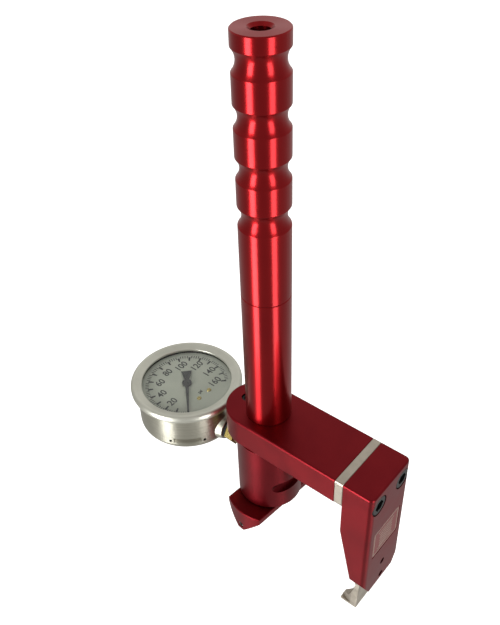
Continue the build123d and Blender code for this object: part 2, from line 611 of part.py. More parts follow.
def make_case():
    """Deep drawn steel cup with a turned-out rim, a radial hole for the socket and a stamped recess."""
    case = upright(CASE_R, CASE_BOTTOM, FLANGE_TOP, GAUGE_X)
    case = fillet(circles(case)[0], CASE_CORNER)
    case += upright(FLANGE_R, FLANGE_LOW, FLANGE_TOP, GAUGE_X)
    hollow = upright(CASE_R - CASE_WALL, CASE_BOTTOM + CASE_WALL, FLANGE_TOP + 1, GAUGE_X)
    case -= fillet(circles(hollow)[0], CASE_CORNER - CASE_WALL)
    case -= along_x(CASE_HOLE_R, GAUGE_X + 20, GAUGE_X + 40, 0, STEM_Z)
    case -= along_x(PLUG_R + 0.1, GAUGE_X - 40, GAUGE_X - 20, 0, PLUG_Z)
    case -= case_recess()
    for side in (-1, 1):
        wall = Pos(GAUGE_X, 0, STAMP_Z) * Rot(0, 0, STAMP_TURN + side * DIMPLE_TURN) * Pos(CASE_R - 0.5, 0, 0)
        case -= wall * Rot(0, 90, 0) * Cylinder(DIMPLE_R, 1.6)
    return case


def make_fill_plug():
    """Rubber plug of the liquid filling, on the side opposite the socket."""
    wall = GAUGE_X - CASE_R
    plug = along_x(PLUG_R, wall - 0.2, wall + 3.0, 0, PLUG_Z)
    plug += along_x(PLUG_HEAD_R, wall - PLUG_HEAD, wall - 0.1, 0, PLUG_Z)
    return fillet(plug.edges().sort_by(Axis.X)[0], PLUG_ROUND)


def make_bezel():
    """Spun steel ring, rolled over the rim of the case; its top falls inwards to a lip."""
    bezel = tube(BEZEL_R, OPENING_R, BEZEL_BOTTOM, BEZEL_TOP, GAUGE_X)
    bezel = fillet([e for e in circles(bezel) if e.radius > CASE_R][-1], BEZEL_ROLL_TOP)
    bezel = fillet([e for e in circles(bezel) if e.radius > CASE_R][0], BEZEL_ROLL_LOW)
    fall = (BEZEL_TOP - BEZEL_LIP_TOP) / (BEZEL_CREST_R - OPENING_R)
    dish = Cone(OPENING_R - 1, BEZEL_CREST_R, BEZEL_TOP - BEZEL_LIP_TOP + fall, align=LOW)
    bezel -= Pos(GAUGE_X, 0, BEZEL_LIP_TOP - fall) * dish
    bezel -= upright(BEZEL_SEAT_R, BEZEL_BOTTOM + 0.7, BEZEL_LIP_TOP - BEZEL_SHEET, GAUGE_X)
    bezel = fillet([e for e in circles(bezel) if abs(e.radius - OPENING_R) < 0.1][-1], BEZEL_LIP)
    return bezel - upright(CASE_R + 0.1, BEZEL_BOTTOM - 1, BEZEL_BOTTOM + 1, GAUGE_X)


def make_window():
    return upright(WINDOW_R, WINDOW_TOP - WINDOW_THICK, WINDOW_TOP, GAUGE_X)


def make_gasket():
    """Rubber ring on the rim of the case, with a collar that carries the window."""
    rest = WINDOW_TOP - WINDOW_THICK - 0.03
    outer, rim, shoulder = BEZEL_SEAT_R - 0.1, CASE_R - CASE_WALL - 0.05, WINDOW_R + 0.05
    outline = [(GASKET_INNER_R, rest - GASKET_COLLAR), (rim, rest - GASKET_COLLAR), (rim, FLANGE_TOP + 0.03)]
    outline += [(outer, FLANGE_TOP + 0.03), (outer, WINDOW_TOP), (shoulder, WINDOW_TOP), (shoulder, rest)]
    return Pos(GAUGE_X, 0, 0) * turned(outline + [(GASKET_INNER_R, rest)])


def make_dial():
    dial = upright(DIAL_R, DIAL_TOP - DIAL_THICK, DIAL_TOP, GAUGE_X)
    dial -= upright(DIAL_HOLE_R, DIAL_TOP - 2, DIAL_TOP + 1, GAUGE_X)
    for x, y in DIAL_SCREWS:
        dial -= upright(DIAL_SCREW_R + 0.05, DIAL_TOP - 2, DIAL_TOP + 1, x, y)
    return dial


def make_dial_screws():
    screws = []
    for x, y in DIAL_SCREWS:
        screw = upright(DIAL_SCREW_R, MOVEMENT_TOP - 1.0, DIAL_TOP + 0.1, x, y)
        screw += Pos(x, y, DIAL_TOP + 0.02) * Cone(*DIAL_HEAD_R, DIAL_HEAD_H, align=LOW)
        slot_floor = DIAL_TOP + DIAL_HEAD_H - 0.2
        screw -= block(x - 2, x + 2, y - DIAL_SLOT / 2, y + DIAL_SLOT / 2, slot_floor, DIAL_TOP + 1)
        screws.append(screw)
    return Compound(children=screws)


def make_socket():
    """Brass socket: pipe thread, relief, hexagon, collar through the case and block for the tube."""
    block_low, block_high = SOCKET_BLOCK_X
    tube_half = TUBE_WIDE / 2 + 0.2
    socket = hexagon_x(SOCKET_HEX_AF / 2 / cos(pi / 6), *SOCKET_HEX_X, 0, STEM_Z)
    socket += along_x(SOCKET_NECK_R, SOCKET_HEX_X[1] - 0.5, SOCKET_THREAD_X + 0.5, 0, STEM_Z)
    socket += along_x(PORT_R, SOCKET_THREAD_X, PORT_BOTTOM_X, 0, STEM_Z)
    socket += along_x(SOCKET_NECK_R, block_high - 0.5, SOCKET_HEX_X[0] + 0.3, 0, STEM_Z)
    socket += block(block_low, block_high, -SOCKET_BLOCK_HALF, SOCKET_BLOCK_HALF, STEM_Z - 5, STEM_Z + 4.6)
    socket -= along_x(SOCKET_BORE_R, block_high - 1.5, PORT_BOTTOM_X + 1, 0, STEM_Z)
    slot = tube(TUBE_R + 1.0, TUBE_R - 1.0, STEM_Z - tube_half, STEM_Z + tube_half, GAUGE_X)
    return socket - (slot & block(block_low + 0.5, -40, -SOCKET_BLOCK_HALF - 0.1, -1.5, 0, ARM_TOP))


def make_neck_ring():
    """Steel collar pressed on the case around the socket."""
    free_x, case_x = NECK_X
    ring = Pos(free_x, 0, STEM_Z) * Rot(0, -90, 0) * Cone(*NECK_R, free_x - case_x, align=LOW)
    ring = fillet(ring.edges().filter_by(GeomType.CIRCLE).sort_by(Axis.X)[-1], NECK_ROUND)
    ring -= along_x(NECK_INNER_R, GAUGE_X + 20, free_x + 1, 0, STEM_Z)
    return ring - upright(CASE_R + SNUG, CASE_BOTTOM, BEZEL_TOP, GAUGE_X)


def make_stem_seal():
    ring = along_x(NECK_INNER_R - 0.05, GAUGE_X + CASE_R - 1.5, STEM_SEAL_END_X, 0, STEM_Z)
    return ring - along_x(SOCKET_NECK_R + 0.05, GAUGE_X + 20, STEM_SEAL_END_X + 1, 0, STEM_Z)


# ---------------------------------------------------------------- gauge movement
def movement_plate(low):
    plate = block(*MOVEMENT_X, *MOVEMENT_Y, low, low + PLATE_THICK)
    plate = fillet(plate.edges().filter_by(Axis.Z), MOVEMENT_CORNER)
    plate -= upright(ARBOR_R + 0.08, low - 1, low + 3, GAUGE_X)
    plate -= upright(ARBOR_R + 0.08, low - 1, low + 3, *SECTOR_PIVOT)
    corner_x, corner_y = TIP_PIN[0] + 4, TIP_PIN[1] - 4
    return plate - block(MOVEMENT_X[0] - 1, corner_x, corner_y, MOVEMENT_Y[1] + 1, low - 1, low + 3)


def make_movement():
    """Two brass plates on three pillars, carried by a bracket on the socket block."""
    foot = MOVEMENT_LOW + 0.15
    frame = movement_plate(MOVEMENT_LOW) + movement_plate(MOVEMENT_TOP - PLATE_THICK)
    for x, y in PILLARS:
        frame += upright(PILLAR_R, MOVEMENT_LOW, MOVEMENT_TOP, x, y)
    frame += block(GAUGE_X + 6, -44, -6.2, 6.2, foot, MOVEMENT_LOW + PLATE_THICK)
    for x, y in DIAL_SCREWS:
        frame += upright(POST_R, foot, DIAL_TOP - DIAL_THICK - 0.05, x, y)
        frame -= upright(DIAL_SCREW_R + 0.05, MOVEMENT_TOP - 1.2, DIAL_TOP, x, y)
    return frame


def tooth(pitch_r, angle, tip_thick, low, high):
    """A straight-sided tooth on a gear of the given pitch radius, at the given angle."""
    root = pitch_r - 1.15 * GEAR_MODULE - 0.2
    tip = pitch_r + 0.85 * GEAR_MODULE
    outline = [(root, -TOOTH_ROOT / 2), (root, TOOTH_ROOT / 2), (tip, tip_thick / 2), (tip, -tip_thick / 2)]
    return Pos(0, 0, low) * Rot(0, 0, angle) * extrude(make_face(Polyline(*outline, close=True)), high - low)


def make_pinion():
    """Pointer arbor with the pinion cut on it."""
    arbor = upright(ARBOR_R, MOVEMENT_LOW - 0.3, DIAL_TOP + 1.3)
    pitch_r = GEAR_MODULE * PINION_TEETH / 2
    arbor += upright(pitch_r - 1.15 * GEAR_MODULE, PINION_LOW, PINION_HIGH)
    for n in range(PINION_TEETH):
        arbor += tooth(pitch_r, 90 + n * 360 / PINION_TEETH, TOOTH_TIP[0], PINION_LOW, PINION_HIGH)
    return Pos(GAUGE_X, 0, 0) * arbor


def make_pointer():
    """Black needle with a flared tail, at rest on the zero of the scale."""
    low = DIAL_TOP + POINTER_LOW
    left = [(x, half) for x, half in NEEDLE]
    right = [(x, -half) for x, half in reversed(NEEDLE)]
    outline = make_face(Polyline(*left, (NEEDLE_TIP, 0), *right, close=True))
    pointer = Pos(0, 0, low) * extrude(outline, POINTER_THICK)
    pointer += upright(POINTER_HUB_R, low - 0.35, low + 0.75)
    pointer -= upright(ARBOR_R + SNUG, low - 1, low + 0.6)
    return Pos(GAUGE_X, 0, 0) * Rot(0, 0, 180 - ZERO_TURN) * pointer


def make_sector():
    """Toothed sector with its arbor and the tail that the link pulls."""
    low, high = SECTOR_LOW, SECTOR_HIGH
    pitch_r = GEAR_MODULE * SECTOR_TEETH / 2
    root = pitch_r - 1.15 * GEAR_MODULE
    pitch_angle = 360 / SECTOR_TEETH
    first = SECTOR_MID - pitch_angle * (SECTOR_CUT - 1) / 2
    span = SECTOR_CUT * pitch_angle / 2 + 1
    ends = [(root * cos(radians(a)), root * sin(radians(a))) for a in (SECTOR_MID - span, SECTOR_MID + span)]
    crown = (root * cos(radians(SECTOR_MID)), root * sin(radians(SECTOR_MID)))
    side = (SECTOR_NECK * cos(radians(TAIL_TURN - 90)), SECTOR_NECK * sin(radians(TAIL_TURN - 90)))
    rim = ThreePointArc(ends[0], crown, ends[1]) + Polyline(ends[1], side, (-side[0], -side[1]), ends[0])
    sector = Pos(0, 0, low) * extrude(make_face(rim), high - low)
    for n in range(SECTOR_CUT):
        sector += tooth(pitch_r, first + n * pitch_angle, TOOTH_TIP[1], low, high)
    sector += upright(SECTOR_HUB_R, low, high)
    sector += Rot(0, 0, TAIL_TURN) * block(0, TAIL_LENGTH + 1.2, -TAIL_HALF, TAIL_HALF, low, high)
    sector += upright(ARBOR_R, MOVEMENT_LOW - 0.4, MOVEMENT_TOP + 0.4)
    return Pos(*SECTOR_PIVOT, 0) * sector + upright(LINK_PIN_R, low, LINK_HIGH + 0.5, *TAIL_PIN)


def make_link():
    """Flat link from the sector's tail to the tip of the Bourdon tube, with a setting slot."""
    low, high = LINK_LOW, LINK_HIGH
    run = (TIP_PIN[0] - TAIL_PIN[0], TIP_PIN[1] - TAIL_PIN[1])
    length = (run[0] ** 2 + run[1] ** 2) ** 0.5
    turn = degrees(atan2(run[1], run[0]))
    slot_long, slot_wide = LINK_SLOT
    slot_at = Pos(TIP_PIN[0] + LINK_SLOT_SHIFT, TIP_PIN[1], 0)
    link = Pos(*TAIL_PIN, 0) * Rot(0, 0, turn) * block(0, length, -LINK_HALF, LINK_HALF, low, high)
    link += upright(LINK_EYE_R, low, high, *TAIL_PIN)
    rim = SlotOverall(slot_long + LINK_SLOT_RIM, slot_wide + LINK_SLOT_RIM)
    link += slot_at * Pos(0, 0, low) * extrude(rim, high - low)
    link -= upright(LINK_PIN_R + 0.04, low - 1, high + 1, *TAIL_PIN)
    return link - slot_at * Pos(0, 0, low - 1) * extrude(SlotOverall(slot_long, slot_wide), high - low + 2)


def make_hairspring():
    """Flat spiral of half turns about the pointer arbor."""
    low, high = SPRING_LOW, SPRING_LOW + SPRING_WIDTH
    spring = tube(ARBOR_R + 0.43, ARBOR_R + 0.04, low, high)
    spring += block(ARBOR_R + 0.13, SPRING_FIRST_R + SPRING_STEP / 4, -0.1, 0.1, low, high)
    for n in range(SPRING_HALF_TURNS):
        radius = SPRING_FIRST_R + SPRING_STEP / 2 * n
        side = 1 if n % 2 else -1
        ring = tube(radius + SPRING_THICK / 2, radius - SPRING_THICK / 2, low, high, side * SPRING_STEP / 4)
        spring += ring & Pos(0, side * 5, (low + high) / 2) * Box(20, 10, SPRING_WIDTH)
    return Pos(GAUGE_X, 0, 0) * spring


def make_bourdon():
    """Flattened tube bent through most of a turn from the socket block to its tip."""
    end = TIP_TURN - 360
    section = Plane.XZ * (Pos(TUBE_R, STEM_Z) * RectangleRounded(TUBE_THICK, TUBE_WIDE, 0.85))
    bent = Rot(0, 0, end) * revolve(section, Axis.Z, TUBE_START - end)
    tip = Pos(TUBE_R, 0, STEM_Z) * Box(2 * TIP_HALF, 2 * TIP_HALF, TUBE_WIDE + 0.6)
    bent = Pos(GAUGE_X, 0, 0) * (bent + Rot(0, 0, end) * tip)
    return bent + upright(LINK_PIN_R + 0.05, STEM_Z + 4, LINK_HIGH + 0.6, *TIP_PIN)


# ---------------------------------------------------------------- write the nodes
def main():
    nodes = {
        "arm": make_arm(),
        "spacer_plate": make_spacer(),
        "leg_block": make_leg(),
        "leg_screws": make_leg_screws(),
        "claw": make_claw(),
        "claw_screws": make_claw_screws(),
        "handle_base_stud": make_stud(BASE_STUD_R, *BASE_STUD_ENDS),
        "handle_post": make_handle_post(),
        "handle_joining_stud": make_stud(JOIN_STUD_R, *JOIN_STUD_ENDS),
        "handle_grip": make_handle_grip(),
        "bleed_screw": make_bleed_screw(),
        "bleed_seal": make_bleed_seal(),
        "cylinder_barrel": make_barrel(),
        "retaining_ring": make_retaining_ring(),
        "piston": make_piston(),
        "piston_seal": make_piston_seal(),
        "wear_ring": make_wear_ring(),
        "foot": make_foot(),
        "foot_edge_pin": make_foot_pin(),
        "foot_retaining_screw": make_foot_screw(),
        "gauge_case": make_case(),
        "case_neck_ring": make_neck_ring(),
        "case_fill_plug": make_fill_plug(),
        "gauge_bezel": make_bezel(),
        "gauge_window": make_window(),
        "window_gasket": make_gasket(),
        "gauge_dial": make_dial(),
        "dial_screws": make_dial_screws(),
        "gauge_pointer": make_pointer(),
        "pointer_arbor": make_pinion(),
        "sector_gear": make_sector(),
        "gauge_link": make_link(),
        "hairspring": make_hairspring(),
        "bourdon_tube": make_bourdon(),
        "movement_frame": make_movement(),
        "gauge_socket": make_socket(),
        "stem_seal": make_stem_seal(),
    }
    os.makedirs("parts", exist_ok=True)
    for name, shape in nodes.items():
        export_step(shape, f"parts/{name}.step")


main()
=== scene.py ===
import math

import bmesh
import bpy
from mathutils import Matrix, Vector


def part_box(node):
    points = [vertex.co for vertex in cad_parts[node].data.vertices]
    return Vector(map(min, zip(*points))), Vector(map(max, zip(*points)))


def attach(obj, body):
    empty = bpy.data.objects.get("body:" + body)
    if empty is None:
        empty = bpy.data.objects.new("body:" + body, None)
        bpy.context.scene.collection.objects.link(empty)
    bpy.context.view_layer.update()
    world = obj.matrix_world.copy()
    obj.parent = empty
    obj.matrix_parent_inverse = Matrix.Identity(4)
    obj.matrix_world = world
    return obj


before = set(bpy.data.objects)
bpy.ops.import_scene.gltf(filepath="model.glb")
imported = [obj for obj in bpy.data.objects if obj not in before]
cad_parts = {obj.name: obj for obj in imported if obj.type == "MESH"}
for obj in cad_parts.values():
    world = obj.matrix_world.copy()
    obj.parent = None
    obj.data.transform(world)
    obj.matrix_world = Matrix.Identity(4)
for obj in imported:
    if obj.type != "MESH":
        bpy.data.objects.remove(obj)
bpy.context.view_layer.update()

MM = 0.001

# ---------------------------------------------------------------- sizes taken from the frame
DIAL_LOW, DIAL_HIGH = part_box("gauge_dial")
DIAL_CENTRE = Vector(((DIAL_LOW.x + DIAL_HIGH.x) / 2, 0, DIAL_HIGH.z))
FLOOR_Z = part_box("claw")[0].z
LEG_FACE_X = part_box("leg_block")[1].x

# ---------------------------------------------------------------- printed scale of the dial
SCALE_TOP = 160
SCALE_SWEEP = 270.0            # degrees from zero to SCALE_TOP, equal on both sides of 12 o'clock
MAJOR_STEP, MINOR_STEP, NUMBER_STEP = 10, 2, 20
MAJOR_R = (21.0 * MM, 24.4 * MM)          # inner and outer end of a mark
MINOR_R = (23.5 * MM, 25.8 * MM)
MAJOR_WIDTH = (0.9 * MM, 1.5 * MM)        # at its inner and outer end
MINOR_WIDTH = (0.48 * MM, 0.48 * MM)
NUMBER_R, NUMBER_HEIGHT, NUMBER_SQUEEZE = 17.0 * MM, 4.6 * MM, 0.9
UNIT_R, UNIT_HEIGHT, UNIT_SQUEEZE = 10.9 * MM, 2.3 * MM, 0.8
LETTER_BOLD = 0.12 * MM        # added all round each stroke
LETTER_STEPS = 5               # divisions along each curve of a letter
DIGIT_SHARE = 0.7              # a digit's height as a share of the font's size
INK_LIFT = 0.02 * MM
INK_THICK = 0.03 * MM

# ---------------------------------------------------------------- stamped recess of the gauge case, for its painted shade
CASE_R = 31.0 * MM
STAMP_DEPTH = 0.75 * MM
STAMP_FOOT_Z = 41.9 * MM
STAMP_FADE = 0.4 * MM          # height over which the painted shade comes in

# ---------------------------------------------------------------- etched panel on the leg
PANEL_Z = 37.6 * MM
PANEL_WIDTH, PANEL_HEIGHT = 26.0 * MM, 22.0 * MM
PANEL_DEPTH = 0.25 * MM
PANEL_FLOOR_X = LEG_FACE_X - PANEL_DEPTH
GROUND_GAP = 0.05 * MM         # left free all round the sheet on the panel's floor
GROUND_CORNER_R = 1.4 * MM
GROUND_THICK = 0.008 * MM
ETCH_LIFT = 0.01 * MM
ETCH_THICK = 0.05 * MM
BORDER_INSET, BORDER_WIDTH = 1.0 * MM, 0.9 * MM
BORDER_OUTER_R, BORDER_INNER_R = 1.2 * MM, 0.5 * MM
CORNER_STEPS = 6
COILS, COIL_HALF, COIL_RISE = 5, 6.2 * MM, 2.4 * MM
COIL_CLIMB = 0.55              # share of the rise that the near side of a coil takes
WIRE_WIDTH = 1.25 * MM
PLATE_WIDTH, PLATE_OVERHANG = 0.9 * MM, 1.5 * MM
PLATE_DROP, PLATE_CLEARANCE = 1.1 * MM, 0.5 * MM       # from the coils to the lower and upper plate

# ---------------------------------------------------------------- camera
CAMERA_AT = (0.190426, -0.232068, 0.394875)
CAMERA_YAW = 0.715101          # angles in radians
CAMERA_PITCH = 0.680592
CAMERA_ROLL = -0.0391422
CAMERA_LENS = 44.23

# ---------------------------------------------------------------- lamps and floor
LAMP_AIM = Vector((0.0, 0.0, 0.14))       # near the middle of the object
LAMP_DISTANCE = 1.1
LAMP_ELEVATION = -8
LAMP_HEIGHT = 1.5
FLOOR_HALF, FLOOR_THICK = 3.0, 0.01
FLOOR_GAP = 0.05 * MM          # under the claw's base
FLOOR_GLOW = 0.8

# ---------------------------------------------------------------- numbers of Blender's nodes
NOISE_LOW, NOISE_HIGH = 0.3, 0.7          # nearly all of a noise pattern lies between these
MIX_A, MIX_B, MIX_OUT = 6, 7, 2           # the colour sockets of a Mix node
QUARTER_TURN = 0.25                       # Anisotropic Rotation counts in whole turns


# ---------------------------------------------------------------- material tools
def linear(red, green, blue):
    """An sRGB colour of 0 to 255 as the linear colour that a shader takes."""
    parts = []
    for value in (red, green, blue):
        share = value / 255
        parts.append(share / 12.92 if share <= 0.04045 else ((share + 0.055) / 1.055) ** 2.4)
    return (*parts, 1.0)


def set_range(node, start, end, low, high):
    """Makes a Map Range node turn start to end into low to high."""
    numbers = {"From Min": start, "From Max": end, "To Min": low, "To Max": high}
    for socket, number in numbers.items():
        node.inputs[socket].default_value = number


class Finish:
    """A Principled material with helpers for its pattern nodes.

    Patterns use the piece's own place, in metres.
    """

    def __init__(self, name, **settings):
        self.material = bpy.data.materials.new(name)
        self.material.use_nodes = True
        self.tree = self.material.node_tree
        self.shader = self.tree.nodes["Principled BSDF"]
        self.place = self.tree.nodes.new("ShaderNodeTexCoord").outputs["Object"]
        for socket, value in settings.items():
            self.shader.inputs[socket.replace("_", " ")].default_value = value

    def node(self, kind, **settings):
        made = self.tree.nodes.new(kind)
        for key, value in settings.items():
            setattr(made, key, value)
        return made

    def link(self, source, target):
        self.tree.links.new(source, target)

    def stretched(self, scale):
        """The place, multiplied along each axis by scale."""
        mapping = self.node("ShaderNodeMapping")
        mapping.inputs["Scale"].default_value = scale
        self.link(self.place, mapping.inputs["Vector"])
        return mapping.outputs["Vector"]

    def round_axis(self, centre, scale):
        """(radius, 0, height) about a vertical axis through centre, multiplied by scale."""
        shift = self.node("ShaderNodeVectorMath", operation="SUBTRACT")
        shift.inputs[1].default_value = (centre[0], centre[1], 0)
        self.link(self.place, shift.inputs[0])
        parts = self.node("ShaderNodeSeparateXYZ")
        self.link(shift.outputs[0], parts.inputs[0])
        flat = self.node("ShaderNodeCombineXYZ")
        self.link(parts.outputs["X"], flat.inputs["X"])
        self.link(parts.outputs["Y"], flat.inputs["Y"])
        radius = self.node("ShaderNodeVectorMath", operation="LENGTH")
        self.link(flat.outputs[0], radius.inputs[0])
        ring = self.node("ShaderNodeCombineXYZ")
        self.link(radius.outputs["Value"], ring.inputs["X"])
        self.link(parts.outputs["Z"], ring.inputs["Z"])
        grown = self.node("ShaderNodeVectorMath", operation="MULTIPLY")
        grown.inputs[1].default_value = scale
        self.link(ring.outputs[0], grown.inputs[0])
        return grown.outputs[0]

    def noise(self, vector, scale, detail=2.0, rough=0.5):
        noise = self.node("ShaderNodeTexNoise")
        noise.inputs["Scale"].default_value = scale
        noise.inputs["Detail"].default_value = detail
        noise.inputs["Roughness"].default_value = rough
        self.link(vector, noise.inputs["Vector"])
        return noise.outputs["Fac"]

    def spread(self, value, low, high, start=NOISE_LOW, end=NOISE_HIGH):
        """Value's start to end as low to high."""
        spread = self.node("ShaderNodeMapRange")
        set_range(spread, start, end, low, high)
        self.link(value, spread.inputs["Value"])
        return spread.outputs["Result"]

    def tint(self, pattern, dark, light):
        """Colours the surface from dark to light with a noise pattern."""
        ramp = self.node("ShaderNodeValToRGB")
        first, last = ramp.color_ramp.elements
        first.position, first.color = NOISE_LOW, dark
        last.position, last.color = NOISE_HIGH, light
        self.link(pattern, ramp.inputs["Fac"])
        self.link(ramp.outputs["Color"], self.shader.inputs["Base Color"])

    def deepen(self, centre, surface, depth, above, fade, shade):
        """Paints shade into what lies sunk in a turned surface, from a height upwards: the base colour
        darkens towards the shade colour.

        The painted shade comes in over the fade below that height. All of the surface nearer the axis than
        the recess's floor is darkened too.
        """
        parts = self.node("ShaderNodeSeparateXYZ")
        self.link(self.round_axis(centre, (1, 1, 1)), parts.inputs[0])
        sunk = self.spread(parts.outputs["X"], 1.0, 0.0, surface - depth, surface)
        high = self.spread(parts.outputs["Z"], 0.0, 1.0, above - fade, above)
        painted_shade_mask = self.node("ShaderNodeMath", operation="MULTIPLY")
        self.link(sunk, painted_shade_mask.inputs[0])
        self.link(high, painted_shade_mask.inputs[1])
        mixed = self.node("ShaderNodeMix", data_type="RGBA")
        colour = self.shader.inputs["Base Color"]
        self.link(painted_shade_mask.outputs[0], mixed.inputs["Factor"])
        self.link(colour.links[0].from_socket, mixed.inputs[MIX_A])
        mixed.inputs[MIX_B].default_value = shade
        self.link(mixed.outputs[MIX_OUT], colour)

    def roughness(self, pattern, low, high):
        self.link(self.spread(pattern, low, high), self.shader.inputs["Roughness"])

    def bump(self, pattern, depth):
        """Raises the surface by the pattern times depth, in metres."""
        bump = self.node("ShaderNodeBump")
        bump.inputs["Strength"].default_value = 1.0
        bump.inputs["Distance"].default_value = depth
        self.link(pattern, bump.inputs["Height"])
        self.link(bump.outputs["Normal"], self.shader.inputs["Normal"])

    def spin(self, amount):
        """Turning marks round the vertical axis stretch the highlights across them."""
        self.shader.inputs["Anisotropic"].default_value = amount
        self.shader.inputs["Anisotropic Rotation"].default_value = QUARTER_TURN
        tangent = self.node("ShaderNodeTangent", direction_type="RADIAL", axis="Z")
        self.link(tangent.outputs["Tangent"], self.shader.inputs["Tangent"])


# ---------------------------------------------------------------- finishes
def red_anodised(name, coat, coat_rough):
    """Bare red anodised aluminium under a thin clear top layer."""
    return Finish(name, Metallic=1.0, Coat_Weight=coat, Coat_Roughness=coat_rough, Coat_IOR=1.5)


def red_turned():
    """Red anodising on the turned handle: fine tool rings, glossy."""
    look = red_anodised("anodised_turned_red", coat=0.16, coat_rough=0.14)
    rings = look.noise(look.round_axis((0, 0), (0, 0, 9000)), 1.0, 3.0, 0.6)
    patches = look.noise(look.stretched((1, 1, 0.5)), 55.0, 3.0)
    look.tint(patches, (0.27, 0.007, 0.010, 1), (0.32, 0.010, 0.012, 1))
    look.roughness(rings, 0.26, 0.35)
    look.bump(rings, 0.0012 * MM)
    look.spin(0.75)
    return look.material


def red_milled():
    """Red anodising on blasted aluminium: a fine even grain, satin."""
    look = red_anodised("anodised_milled_red", coat=0.09, coat_rough=0.3)
    grain = look.noise(look.place, 5200.0, 2.0, 0.6)
    clouds = look.noise(look.place, 60.0, 4.0)
    look.tint(clouds, (0.165, 0.006, 0.010, 1), (0.20, 0.008, 0.012, 1))
    look.roughness(clouds, 0.36, 0.42)
    look.bump(grain, 0.004 * MM)
    return look.material


def red_barrel():
    """The same anodising on the turned cylinder, with wider tool rings."""
    look = red_anodised("anodised_barrel_red", coat=0.12, coat_rough=0.28)
    rings = look.noise(look.round_axis((0, 0), (4000, 0, 5200)), 1.0, 3.0, 0.6)
    clouds = look.noise(look.place, 60.0, 4.0)
    look.tint(clouds, (0.145, 0.005, 0.009, 1), (0.175, 0.006, 0.011, 1))
    look.roughness(rings, 0.34, 0.44)
    look.bump(rings, 0.0025 * MM)
    return look.material


def ground_steel(name, dark, light, scale, rough):
    """Flat-ground steel: long fine scratches, shorter patches of sheen."""
    look = Finish(name, Metallic=1.0)
    scratches = look.noise(look.stretched(scale), 1.0, 4.0, 0.65)
    patches = look.noise(look.place, 180.0, 4.0)
    look.tint(patches, dark, light)
    look.roughness(scratches, rough - 0.07, rough + 0.09)
    look.bump(scratches, 0.004 * MM)
    return look.material


def spun_steel(name, dark, light, rough, centre, spin):
    """Steel sheet polished in a lathe: rings about centre. Gives the Finish, so that more can be added."""
    look = Finish(name, Metallic=1.0)
    rings = look.noise(look.round_axis(centre, (4200, 0, 4200)), 1.0, 4.0, 0.6)
    stains = look.noise(look.place, 70.0, 5.0, 0.6)
    look.tint(stains, dark, light)
    look.roughness(rings, rough - 0.06, rough + 0.08)
    look.bump(rings, 0.002 * MM)
    look.spin(spin)
    return look


def plain_metal(name, dark, light, rough, grain, depth, metallic=1.0):
    """A metal or painted part with mottled colour and a fine grain."""
    look = Finish(name, Metallic=metallic)
    mottle = look.noise(look.place, 420.0, 4.0, 0.6)
    fine = look.noise(look.place, grain, 2.0, 0.6)
    look.tint(mottle, dark, light)
    look.roughness(fine, rough - 0.06, rough + 0.08)
    look.bump(fine, depth)
    return look.material


def window_glass():
    """Clear laminated pane with a trace of green."""
    look = Finish("window_clear_pane", Transmission_Weight=1.0, IOR=1.46, Metallic=0.0,
                  Specular_IOR_Level=0.2)
    haze = look.noise(look.place, 90.0, 3.0)
    look.tint(haze, (0.93, 0.96, 0.94, 1), (0.97, 0.985, 0.97, 1))
    look.roughness(haze, 0.0, 0.03)
    return look.material


def dial_paint():
    """Off-white enamel on the dial plate, with the faint unevenness of rolled paint."""
    look = Finish("dial_enamel", Specular_IOR_Level=0.35)
    clouds = look.noise(look.place, 45.0, 4.0)
    peel = look.noise(look.place, 1500.0, 2.0)
    look.tint(clouds, linear(178, 181, 166), linear(188, 191, 177))
    look.roughness(peel, 0.42, 0.52)
    look.bump(peel, 0.002 * MM)
    return look.material


def matt_moulding(name, shade, rough, grain):
    """Rubber or moulded plastic, dark or pale, with a fine matt grain."""
    look = Finish(name, Specular_IOR_Level=0.2)
    mottle = look.noise(look.place, 300.0, 3.0)
    fine = look.noise(look.place, grain, 2.0)
    look.tint(mottle, tuple(c * 0.8 for c in shade) + (1,), tuple(shade) + (1,))
    look.roughness(fine, rough - 0.06, rough + 0.06)
    look.bump(fine, 0.006 * MM)
    return look.material


def etched(name, dark, light):
    """Laser-etched aluminium: matt, with the fine lines of the beam."""
    look = Finish(name, Metallic=0.55)
    lines = look.noise(look.stretched((300, 300, 7000)), 1.0, 2.0)
    look.tint(lines, dark, light)
    look.roughness(lines, 0.48, 0.62)
    look.bump(lines, 0.004 * MM)
    return look.material


